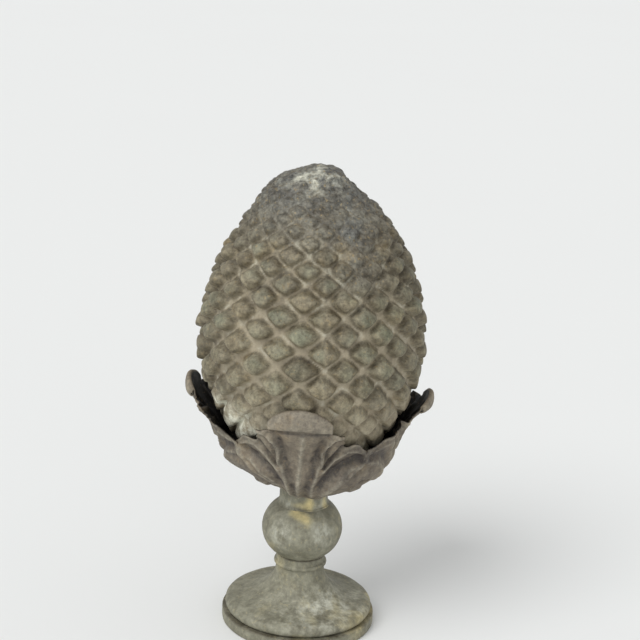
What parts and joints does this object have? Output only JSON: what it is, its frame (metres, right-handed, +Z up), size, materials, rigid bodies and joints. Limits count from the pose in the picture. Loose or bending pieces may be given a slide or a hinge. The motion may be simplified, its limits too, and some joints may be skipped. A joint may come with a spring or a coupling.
{
  "type": "pinecone finial",
  "caption": "Weathered sheet-zinc pinecone finial: a cone of diamond scales in a cup of acanthus leaves, on a neck, ball knop and round spreading foot.",
  "frame": {"origin": "centre of the foot's underside", "axes": "+Z up along the finial's axis, the front leaf faces -Y, +X to the right seen from the front"},
  "size_m": [0.2557, 0.2448, 0.4845],
  "materials": {
    "cone_zinc": "dull weathered sheet zinc, dark on the scales and paler in the grooves",
    "leaf_zinc": "dull weathered sheet zinc with paler ridges",
    "base_zinc": "dull weathered sheet zinc with ochre stains"
  },
  "bodies": {
    "root": {"pinecone": "cone_zinc", "leaf_front": "leaf_zinc", "leaf_right": "leaf_zinc", "leaf_back": "leaf_zinc", "leaf_left": "leaf_zinc", "neck": "base_zinc", "ball_knop": "base_zinc", "foot": "base_zinc"}
  },
  "joints": []
}
